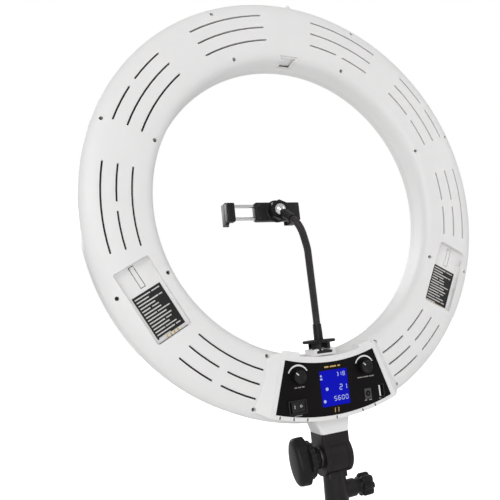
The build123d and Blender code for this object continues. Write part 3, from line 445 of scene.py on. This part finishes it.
# --- turned and lofted pieces ---
def lathe(mesh, profile, place, steps, shape=None):
    """A turned surface: profile is (level, radius) pairs, and shape(angle, level) scales the radius."""
    rings = []
    for level, r in profile:
        if r == 0:
            rings.append([mesh.verts.new(place(0, 0, level))])
            continue
        ring = []
        for i in range(steps):
            a = TAU * i / steps
            k = r * (shape(a, level) if shape else 1)
            ring.append(mesh.verts.new(place(k * math.cos(a), k * math.sin(a), level)))
        rings.append(ring)
    for low, high in zip(rings, rings[1:]):
        for i in range(steps):
            j = (i + 1) % steps
            quad = [low[i % len(low)], low[j % len(low)], high[j % len(high)], high[i % len(high)]]
            corners = list(dict.fromkeys(quad))
            if len(corners) > 2:
                mesh.faces.new(corners)


def soft_box(mesh, low, high, bevel):
    """A block in ring mm with rounded edges."""
    size = [(b - a) * MM for a, b in zip(low, high)]
    centre = at_ring(*[(a + b) / 2 for a, b in zip(low, high)])
    stretch = Matrix.Translation(centre) @ Matrix.Diagonal((*size, 1))
    made = bmesh.ops.create_cube(mesh, size=1.0, matrix=stretch)
    edges = list({e for v in made["verts"] for e in v.link_edges})
    bmesh.ops.bevel(mesh, geom=edges, offset=bevel * MM, segments=3, profile=0.5, affect="EDGES")


def ribs(count, depth):
    """A shape function with fine ribs all round."""
    return lambda a, level: 1 - depth * (0.5 - 0.5 * math.cos(count * a)) ** 2


# potentiometer knobs: a ribbed side and a dished cap, as (level, radius) above the plate
KNOB_GAP = 0.5
KNOB_SIDE = [(0, 0), (0, 7.0), (0.25, 7.4), (0.9, 7.5), (4.9, 7.0), (5.4, 6.8)]
KNOB_CAP = [(5.4, 6.75), (5.9, 6.5), (6.25, 6.0), (6.3, 5.4), (6.0, 4.9), (5.95, 0)]
for (kx, ky), body in zip(KNOBS, ("brightness_knob", "colour_temp_knob")):
    def on_knob(u, v, level, kx=kx, ky=ky):
        """Round a potentiometer knob's own axis."""
        return at_ring(kx + u, PLATE_H + KNOB_GAP + level, ky + v)

    mesh = bmesh.new()
    lathe(mesh, KNOB_SIDE, on_knob, 144, ribs(36, 0.07))
    lathe(mesh, KNOB_CAP, on_knob, 72)
    piece(f"{body}_cap", mesh, black_grip, body, (body,))
    mesh = bmesh.new()
    add_slab(mesh, bar(3.5, 3.5, 3.6, 0.9, 45), on_knob, 5.8, 6.35)
    piece(f"{body}_pointer", mesh, print_white, body, smooth=False)

# rocker marks, jack pin and USB contacts
ROCKER_PIVOT_H, ROCKER_TILT = 22.5, math.radians(7.0)
ROCKER_FACE, ROCKER_RISE, ROCKER_HALF = 3.0, 1.2, 7.9


def on_rocker(u, v, level):
    """On the rocker's dished face: u along it from its middle, v up, level above the face."""
    local = ROCKER_FACE + ROCKER_RISE * abs(u) / ROCKER_HALF + level
    x = ROCKER[0] + u * math.cos(ROCKER_TILT) - local * math.sin(ROCKER_TILT)
    h = ROCKER_PIVOT_H + local * math.cos(ROCKER_TILT) + u * math.sin(ROCKER_TILT)
    return at_ring(x, h, ROCKER[1] + v)


LINE_U, RING_U, MARK_V = 4.0, -3.6, 0.6
RING_BARS = 14
mesh = bmesh.new()
add_slab(mesh, bar(LINE_U, MARK_V, 0.55, 3.4), on_rocker, -0.1, 0.08)
for i in range(RING_BARS):
    a = TAU * i / RING_BARS
    outline = bar(RING_U + math.cos(a), MARK_V + math.sin(a), 0.45, 0.5, math.degrees(a))
    add_slab(mesh, outline, on_rocker, -0.1, 0.08)
piece("rocker_marks", mesh, print_white, "power_rocker", smooth=False)

PIN = [(13.0, 0), (13.0, 1.04), (24.6, 1.04), (25.2, 0.8), (25.5, 0.35), (25.55, 0)]
mesh = bmesh.new()
lathe(mesh, PIN, lambda u, v, level: at_ring(JACK[0] + u, level, JACK[1] + v), 24)
piece("jack_pin", mesh, chrome, "ring_head")
CONTACT_PITCH = 2.5
mesh = bmesh.new()
for i in range(4):
    outline = bar(USB[0] + 0.9, USB[1] + (i - 1.5) * CONTACT_PITCH, 0.3, 1.1)
    add_slab(mesh, outline, on_ring, PLATE_H - 7, PLATE_H - 0.5)
piece("usb_contacts", mesh, brass, "ring_head", smooth=False)

# battery bays: printed labels, contacts and a painted shadow line
BAY_R, BAY_ANGLE, BAY_FLOOR = 202.6, 118.2, 8.5
LABEL_EDGE, FIRST_ROW, ROW_PITCH = 14.0, 8.0, 3.3
# Each printed row as a bar, a gap and a second bar, in mm. They stand for words and say nothing.
BAY_TEXT = (
    (17.0, 1.4, 9.0), (13.5, 0, 0), (22.0, 1.0, 3.5), (16.5, 0, 0), (9.0, 2.0, 7.5),
    (19.0, 0, 0), (12.0, 1.2, 13.5), (21.0, 0, 0), (24.5, 0, 0), (15.0, 1.5, 6.0),
    (18.0, 0, 0), (11.0, 1.0, 12.0), (20.0, 1.5, 5.0), (13.0, 0, 0),
)
for side, word in ((1, "left"), (-1, "right")):
    turn_a = math.radians(side * BAY_ANGLE)
    along = (math.sin(turn_a - side * math.pi / 2), math.cos(turn_a - side * math.pi / 2))

    def in_bay(x, y, level, turn_a=turn_a, along=along):
        """On a bay's floor: x across it, y along it, level above the floor."""
        across_x = BAY_R * math.sin(turn_a) + x * along[1] + y * along[0]
        up_z = BAY_R * math.cos(turn_a) - x * along[0] + y * along[1]
        return at_ring(across_x, BAY_FLOOR + level, up_z)

    lines = []
    for row, (first, gap, second) in enumerate(BAY_TEXT):
        y = FIRST_ROW - row * ROW_PITCH
        lines.append(bar(LABEL_EDGE - first / 2, y, first, 1.25))
        if second:
            lines.append(bar(LABEL_EDGE - first - gap - second / 2, y, second, 1.1))
    print_piece(f"{word}_bay_print", lines, in_bay, 0.33, 0.43, print_label, "ring_head")
    mesh = bmesh.new()
    for x in (-6.0, -2.0, 2.0, 6.0):
        add_slab(mesh, bar(x, -37.2, 1.2, 3.6), in_bay, 0.02, 0.7)
    piece(f"{word}_bay_contacts", mesh, brass, "ring_head", smooth=False)
    # painted shadow: a thin dark strip past the contacts at the bay's end
    mesh = bmesh.new()
    add_slab(mesh, bar(0, -39.25, 33.0, 0.5), in_bay, 0.02, 2.2)
    piece(f"{word}_bay_painted_shadow", mesh, rubber, "ring_head", smooth=False)

# painted shade: dark slabs inside the slots of the panel's rim, at angles from the top
RIM_R = 233.3
RIM_SLOTS = (163.8, 167.6, 171.4, 179.8, 187.7, 191.7)
mesh = bmesh.new()
for angle in RIM_SLOTS:
    a = math.radians(angle)
    outline = bar(RIM_R * math.sin(a), RIM_R * math.cos(a), 1.5, 3.5, -angle)
    add_slab(mesh, outline, on_ring, PLATE_H - 3.0, PLATE_H)
piece("rim_slot_painted_shade", mesh, painted_shade_black, "ring_head", smooth=False)

# painted shade: dark sheets close under the vents, standing for the shade inside the slots
CROWN_R, SKIN_H = 205.0, 12.9
SHADE_SHEET_SINKS = (0.45, 0.85)
SHADE_SHEET_SPANS = ((5, 35), (41, 70), (77, 104.5), (131.5, 158))
SHADE_SHEET_STEPS = 18


def curve(points, t):
    """A point on a cubic curve."""
    weights = ((1 - t) ** 3, 3 * (1 - t) ** 2 * t, 3 * (1 - t) * t**2, t**3)
    return [sum(w * q[k] for w, q in zip(weights, points)) for k in (0, 1)]


# The housing's section is a curve each way from the crown: (radius, height) points.
outer_skin = ((CROWN_R, SKIN_H), (228.55, SKIN_H), (237.4, 9.16), (237.4, 0))
inner_skin = ((CROWN_R, SKIN_H), (178.4, SKIN_H), (171.1, 9.87), (171.1, 0))
section = [curve(inner_skin, t) for t in (0.3, 0.24, 0.18, 0.12, 0.06)]
section += [curve(outer_skin, t) for t in (0, 0.07, 0.14, 0.21, 0.28, 0.37)]
mesh = bmesh.new()
for start, end in SHADE_SHEET_SPANS:
    for side in (1, -1):
        for sink in SHADE_SHEET_SINKS:
            grid = []
            for i in range(SHADE_SHEET_STEPS + 1):
                a = math.radians(side * (start + (end - start) * i / SHADE_SHEET_STEPS))
                row = [at_ring(r * math.sin(a), h - sink, r * math.cos(a)) for r, h in section]
                grid.append([mesh.verts.new(point) for point in row])
            for g, k in zip(grid, grid[1:]):
                for n in range(len(section) - 1):
                    mesh.faces.new((g[n], g[n + 1], k[n + 1], k[n]))
piece("vent_painted_shade", mesh, painted_shade_black, "ring_head")

# LEDs showing faintly through the diffuser
COOL_ROWS, WARM_ROWS = (186.5, 203.5, 218.5), (193.0, 210.0)
LEDS_IN_ROW = 60
DIFFUSER_FACE = -22.2
mesh = bmesh.new()
for r in sorted(COOL_ROWS + WARM_ROWS):
    for i in range(LEDS_IN_ROW):
        a = TAU * (i + 0.5 * (r in WARM_ROWS)) / LEDS_IN_ROW
        outline = disc(r * math.sin(a), r * math.cos(a), 1.7, 12)
        add_slab(mesh, outline, on_ring, DIFFUSER_FACE, DIFFUSER_FACE + 0.1)
piece("led_shadows", mesh, led_faint, "ring_head", smooth=False)

# tilt knob: hub, ribbed flange and a crowned wing
TILT_Z = 0.0625
WING_LONG, WING_SHORT, WING_LEAN = 24.6, 14.6, 14
GROOVE_END, GROOVE_FADE = 43.2, 3
TILT_HUB = [(17.7, 5.0), (17.7, 11.0), (18.3, 11.6), (26.0, 11.6)]
TILT_FLANGE = [(26.0, 11.4), (26.0, 18.4), (26.6, 19.2), (27.4, 19.6)]
TILT_FLANGE += [(30.9, 19.6), (31.7, 19.1), (32.1, 18.0), (32.1, 0)]
# The crown's radii are fractions of the wing's outline.
TILT_CROWN = [(31.6, 0.98), (33.0, 1.0), (41.0, 0.985), (42.8, 0.955), (44.2, 0.89)]
TILT_CROWN += [(45.1, 0.78), (45.6, 0.6), (45.9, 0.3), (46, 0)]


def on_tilt(u, v, level):
    """Round the tilt axis: level along +X, in mm."""
    return Vector((level * MM, u * MM, TILT_Z + v * MM))


def wing(a, level):
    """The wing's outline, longer one way, with shallow finger grooves that fade towards the crown."""
    b = a - math.radians(90 + WING_LEAN)
    outline = WING_LONG / math.sqrt(math.cos(b) ** 2 + (WING_LONG / WING_SHORT) ** 2 * math.sin(b) ** 2)
    fade = max(0.0, min(1.0, (GROOVE_END - level) / GROOVE_FADE))
    return outline * (1 - 0.02 * fade * max(0.0, math.cos(12 * b)) ** 3)


mesh = bmesh.new()
lathe(mesh, TILT_HUB, on_tilt, 72)
lathe(mesh, TILT_FLANGE, on_tilt, 160, ribs(16, 0.05))
lathe(mesh, TILT_CROWN, on_tilt, 176, wing)
piece("tilt_knob_wing", mesh, black_grip, "tilt_knob", ("tilt_knob",))

# stand screw's star knob
SCREW_Z = 0.0245
STAR_HUB = [(22.6, 3.0), (22.6, 7.0), (23.0, 7.5), (27.8, 7.6), (29.0, 8.4)]
# The star's radii are fractions of its lobed outline.
STAR = [(28.6, 0.62), (28.8, 0.8), (29.5, 0.93), (31.0, 1.0), (40.4, 1.0), (42.0, 0.94)]
STAR += [(42.8, 0.82), (43.1, 0.66), (42.9, 0.52), (42.2, 0.46), (42.1, 0)]


def on_screw(u, v, level):
    """Round the stand screw: level along -X, in mm."""
    return Vector((-level * MM, u * MM, SCREW_Z + v * MM))


def lobes(a, level):
    """The star's seven lobes."""
    return 10.9 + 1.3 * math.cos(7 * a) - 0.15 * math.cos(14 * a)


mesh = bmesh.new()
lathe(mesh, STAR_HUB, on_screw, 56)
lathe(mesh, STAR, on_screw, 112, lobes)
piece("stand_star_knob", mesh, black_grip, "stand_screw", ("stand_screw_knob",))

# shoe lock wheel: knurled rim over a slotted hub
NECK_H = 3.0
WHEEL_RIM = [(-156.3, 0), (-156.3, 17.2), (-155.9, 17.8), (-155.5, 18.0), (-154.1, 18.0)]
WHEEL_RIM += [(-153.7, 17.8), (-153.3, 17.2), (-153.3, 9.0), (-153.0, 8.4), (-153.0, 0)]
HUB_R, HUB_INNER, HUB_SLOT = 12, 3.5, 16.96


def on_foot(u, v, level):
    """Round the phone arm's foot: level is the height from the ring's centre."""
    return at_ring(u, NECK_H + v, level)


def knurl(a, level):
    """The wheel's fine teeth."""
    return 1 - 0.025 * (0.5 - 0.5 * math.cos(72 * a))


mesh = bmesh.new()
lathe(mesh, WHEEL_RIM, on_foot, 288, knurl)
for quarter in range(4):
    outline = []
    for i in range(9):
        a = math.radians(HUB_SLOT + (90 - 2 * HUB_SLOT) * i / 8)
        outline.append((HUB_R * math.cos(a), HUB_R * math.sin(a)))
    outline.append((HUB_INNER, HUB_INNER))
    c, k = math.cos(math.radians(90 * quarter)), math.sin(math.radians(90 * quarter))
    add_slab(mesh, [(u * c - v * k, u * k + v * c) for u, v in outline], on_foot, -162.6, -156.2)
piece("lock_wheel_knurl", mesh, black_satin, "lock_wheel", ("shoe_lock_wheel",))

# --- gooseneck sheath along a path through its three joints ---
BALL = (33.7, 12.0, -8.3)
FOOT, RISE_END, ELBOW, CREST = (0, 3, -150.5), (0, 3, -126), (18, 36, -57), (28.7, 46, -32.2)
BEND_LOW, BEND_MID, BEND_TOP = (3.96, 10.3, -110.8), (11.2, 23.5, -83.2), (21.2, 39.1, -49.2)
STEM_LENGTH = 24.0
stem = (Vector(CREST) - Vector(BALL)).normalized()
neck_end = tuple(Vector(BALL) + stem * STEM_LENGTH)
CORNERS = (FOOT, RISE_END, BEND_LOW, BEND_MID, ELBOW, BEND_TOP, CREST, neck_end)
FILLETS = (0, 30, 0, 0, 60, 0, 17)


def rounded(points, radii, step):
    """Evenly spaced points along a polyline whose corners are rounded."""
    points = [Vector(q) for q in points]
    line = [points[0]]
    for before, corner, after, radius in zip(points, points[1:], points[2:], radii[1:]):
        back, ahead = (before - corner).normalized(), (after - corner).normalized()
        bend = math.pi - back.angle(ahead)
        cut = radius * math.tan(bend / 2)
        if cut < 0.2:
            line.append(corner)
            continue
        entry, leaving = corner + back * cut, corner + ahead * cut
        for i in range(13):
            t = i / 12
            line.append((1 - t) ** 2 * entry + 2 * t * (1 - t) * corner + t * t * leaving)
    line.append(points[-1])
    even, spare = [line[0]], step
    for q, w in zip(line, line[1:]):
        length = (w - q).length
        while spare <= length:
            even.append(q.lerp(w, spare / length))
            spare += step
        spare -= length
    return even


PATH_STEP = 0.6
SHEATH_R, RIB_HIGH, STEPS_IN_RIB = 3.86, 0.16, 4
SHEATH_SIDES = 28
path = rounded(CORNERS, FILLETS, PATH_STEP)


def nearest(point):
    """The path's index closest to a point."""
    return min(range(len(path)), key=lambda i: (path[i] - Vector(point)).length)


def sheath_piece(name, start, end, nodes_replaced):
    """A stretch of ridged sheath from one point of the path to another."""
    side_way = Vector((1, 0, 0))
    mesh = bmesh.new()
    rings = []
    for i in range(start, end + 1):
        tangent = (path[min(i + 1, len(path) - 1)] - path[max(i - 1, 0)]).normalized()
        side_way = (side_way - tangent * side_way.dot(tangent)).normalized()
        up = tangent.cross(side_way)
        r = SHEATH_R + RIB_HIGH * math.cos(TAU * i / STEPS_IN_RIB)
        ring = []
        for n in range(SHEATH_SIDES):
            a = TAU * n / SHEATH_SIDES
            q = path[i] + (side_way * math.cos(a) + up * math.sin(a)) * r
            ring.append(mesh.verts.new(at_ring(*q)))
        rings.append(ring)
    for low, high in zip(rings, rings[1:]):
        for n in range(SHEATH_SIDES):
            k = (n + 1) % SHEATH_SIDES
            mesh.faces.new((low[n], low[k], high[k], high[n]))
    mesh.faces.new(rings[0])
    mesh.faces.new(rings[-1])
    thing = piece(name, mesh, sheath, None)
    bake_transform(thing)
    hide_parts(*nodes_replaced)


low_mid = nearest((Vector(BEND_LOW) + Vector(BEND_MID)) / 2)
mid_top = nearest((Vector(BEND_MID) + Vector(BEND_TOP)) / 2)
last = len(path) - 1
sheath_piece("neck_sheath_low", 0, low_mid, ("neck_base_tube",))
sheath_piece("neck_sheath_mid", low_mid, mid_top, ("neck_lower_tube",))
sheath_piece("neck_sheath_top", mid_top, last, ("neck_middle_tube", "neck_upper_tube"))

# --- phone clamp: bevelled housing, jaws, ribbed pads and screws ---
CLAMP_Z = BALL[2]
BODY_HALF, JAW_HALF, CAP_HALF = 10.4, 12.2, 9.4
# Spans from front to back, as heights above the ring's middle plane.
BODY_H, JAW_H, LIP_H, CAP_H = (-6.0, 4.0), (-18.0, -4.0), (-18.0, -15.8), (-5.2, 3.4)
BALL_RIM = [(3.6, 7.3), (4.2, 7.4), (4.3, 11.6), (3.8, 12.4), (3.0, 12.6)]


def clamp_block(mesh, x_span, h_span, half, bevel):
    """A rounded block of the clamp, reaching equally far above and below the ball's centre."""
    low = (x_span[0], h_span[0], CLAMP_Z - half)
    high = (x_span[1], h_span[1], CLAMP_Z + half)
    soft_box(mesh, low, high, bevel)


mesh = bmesh.new()
clamp_block(mesh, (5.0, 58.0), BODY_H, BODY_HALF, 1.6)
clamp_block(mesh, (5.0, 13.0), JAW_H, JAW_HALF, 0.9)
clamp_block(mesh, (5.0, 16.4), LIP_H, JAW_HALF, 0.6)
clamp_block(mesh, (56.2, 59.0), CAP_H, CAP_HALF, 0.6)
lathe(mesh, BALL_RIM, lambda u, v, level: at_ring(BALL[0] + u, level, CLAMP_Z + v), 64)
piece("clamp_housing", mesh, black_satin, "clamp", ("clamp_body",))
SCREW_HEAD = [(3.4, 1.75), (4.1, 1.7), (4.35, 1.3), (4.4, 0.9), (4.0, 0.8), (4.0, 0)]
mesh = bmesh.new()
for x, z in ((9.0, 7.4), (9.0, -7.4), (53.5, 7.4), (53.5, -7.4)):
    def on_clamp(u, v, level, x=x, z=z):
        """Round a clamp screw."""
        return at_ring(x + u, level, CLAMP_Z + z + v)

    lathe(mesh, SCREW_HEAD, on_clamp, 24)
piece("clamp_cover_screws", mesh, black_oxide, "clamp")
mesh = bmesh.new()
clamp_block(mesh, (82.0, 91.0), BODY_H, BODY_HALF, 1.5)
clamp_block(mesh, (87.0, 90.4), JAW_H, JAW_HALF, 0.9)
clamp_block(mesh, (83.6, 90.4), LIP_H, JAW_HALF, 0.6)
piece("sliding_jaw_shell", mesh, black_satin, "sliding_jaw", ("sliding_jaw",))
PAD_RIBS, PAD_RIB_PITCH, PAD_RIB_HALF = 11, 1.92, 0.75
PAD_LOW, PAD_H = 9.6, (-14.8, -7.2)
for name, body, x0, x1, node in (
    ("fixed_pad_ribs", "clamp", 12.6, 14.2, "fixed_jaw_pad"),
    ("sliding_pad_ribs", "sliding_jaw", 85.8, 87.4, "sliding_jaw_pad"),
):
    mesh = bmesh.new()
    for i in range(PAD_RIBS):
        z = CLAMP_Z - PAD_LOW + i * PAD_RIB_PITCH
        soft_box(mesh, (x0, PAD_H[0], z - PAD_RIB_HALF), (x1, PAD_H[1], z + PAD_RIB_HALF), 0.35)
    piece(name, mesh, rubber, body, (node,))

# --- camera, lights and floor ---
camera_data = bpy.data.cameras.new("camera")
camera = bpy.data.objects.new("camera", camera_data)
bpy.context.scene.collection.objects.link(camera)
bpy.context.scene.camera = camera
# The photo's viewpoint, in metres and in degrees about X, Y and Z.
CAMERA_PLACE = (0.272629, 0.515189, 0.206827)
CAMERA_TURN = (97.0597, 6.1578, 157.1323)
camera.location = CAMERA_PLACE
camera.rotation_euler = [math.radians(angle) for angle in CAMERA_TURN]
camera_data.sensor_width = 36.0
camera_data.lens = 37.577
camera_data.shift_x = -0.04
camera_data.shift_y = 0.02
camera_data.clip_start = 0.01

FLOOR_REACH, FLOOR_SINK, FLOOR_LIFT = 6.0, 0.0006, 0.8
floor_mesh = bpy.data.meshes.new("floor")
floor_corners = [(FLOOR_REACH * x, FLOOR_REACH * y, 0) for x, y in ((-1, -1), (1, -1), (1, 1), (-1, 1))]
floor_mesh.from_pydata(floor_corners, [], [(0, 1, 2, 3)])
floor = bpy.data.objects.new("floor", floor_mesh)
bpy.context.scene.collection.objects.link(floor)
floor.location.z = -FLOOR_SINK
# The floor glows for the camera alone, so that it fades into the backdrop and lights nothing.
floor_paint = moulded("floor_paint", (0.9, 0.9, 0.9), rough=0.8, grain=2.0, depth=0.05, mottle=0.004)
floor_shader = floor_paint.node_tree.nodes["Principled BSDF"]
floor_shader.inputs["Emission Color"].default_value = (1, 1, 1, 1)
camera_rays = floor_paint.node_tree.nodes.new("ShaderNodeLightPath")
lift = floor_paint.node_tree.nodes.new("ShaderNodeMath")
lift.operation = "MULTIPLY"
lift.inputs[1].default_value = FLOOR_LIFT
floor_paint.node_tree.links.new(camera_rays.outputs["Is Camera Ray"], lift.inputs[0])
floor_paint.node_tree.links.new(lift.outputs["Value"], floor_shader.inputs["Emission Strength"])
floor_mesh.materials.append(floor_paint)

# A soft light that is brighter from above, and a white backdrop that only the camera sees.
world = bpy.data.worlds.new("studio")
bpy.context.scene.world = world
world.use_nodes = True
world_nodes, world_links = world.node_tree.nodes, world.node_tree.links
sky = world_nodes["Background"]
sky.inputs["Color"].default_value = (1, 1, 1, 1)
heading = world_nodes.new("ShaderNodeTexCoord")
split = world_nodes.new("ShaderNodeSeparateXYZ")
world_links.new(heading.outputs["Generated"], split.inputs["Vector"])
ramp = world_nodes.new("ShaderNodeMapRange")
for key, value in (("From Min", -0.6), ("From Max", 0.8), ("To Min", 0.34), ("To Max", 0.58)):
    ramp.inputs[key].default_value = value
world_links.new(split.outputs["Z"], ramp.inputs["Value"])
world_links.new(ramp.outputs["Result"], sky.inputs["Strength"])
backdrop = world_nodes.new("ShaderNodeBackground")
backdrop.inputs["Color"].default_value = (1, 1, 1, 1)
backdrop.inputs["Strength"].default_value = 1.0
rays = world_nodes.new("ShaderNodeLightPath")
chooser = world_nodes.new("ShaderNodeMixShader")
world_links.new(rays.outputs["Is Camera Ray"], chooser.inputs["Fac"])
world_links.new(sky.outputs["Background"], chooser.inputs[1])
world_links.new(backdrop.outputs["Background"], chooser.inputs[2])
world_links.new(chooser.outputs["Shader"], world_nodes["World Output"].inputs["Surface"])
bpy.context.scene.view_settings.view_transform = "Standard"


def softbox(name, place, aim, size, power):
    """A square area light aimed at a point."""
    data = bpy.data.lights.new(name, "AREA")
    data.size = size
    data.energy = power
    light = bpy.data.objects.new(name, data)
    bpy.context.scene.collection.objects.link(light)
    light.location = place
    light.rotation_mode = "QUATERNION"
    light.rotation_quaternion = (Vector(aim) - Vector(place)).to_track_quat("-Z", "Y")


middle = (0, 0, RING_Z)
softbox("key", (1.7, 1.7, 1.2), middle, 1.2, 15)
softbox("low", (0.5, 1.7, 0.2), (0, 0, 0.1), 0.9, 5)
softbox("fill", (-1.8, 1.3, 0.9), middle, 1.4, 6)
softbox("front", (0.5, -2.0, 1.2), middle, 1.2, 14)
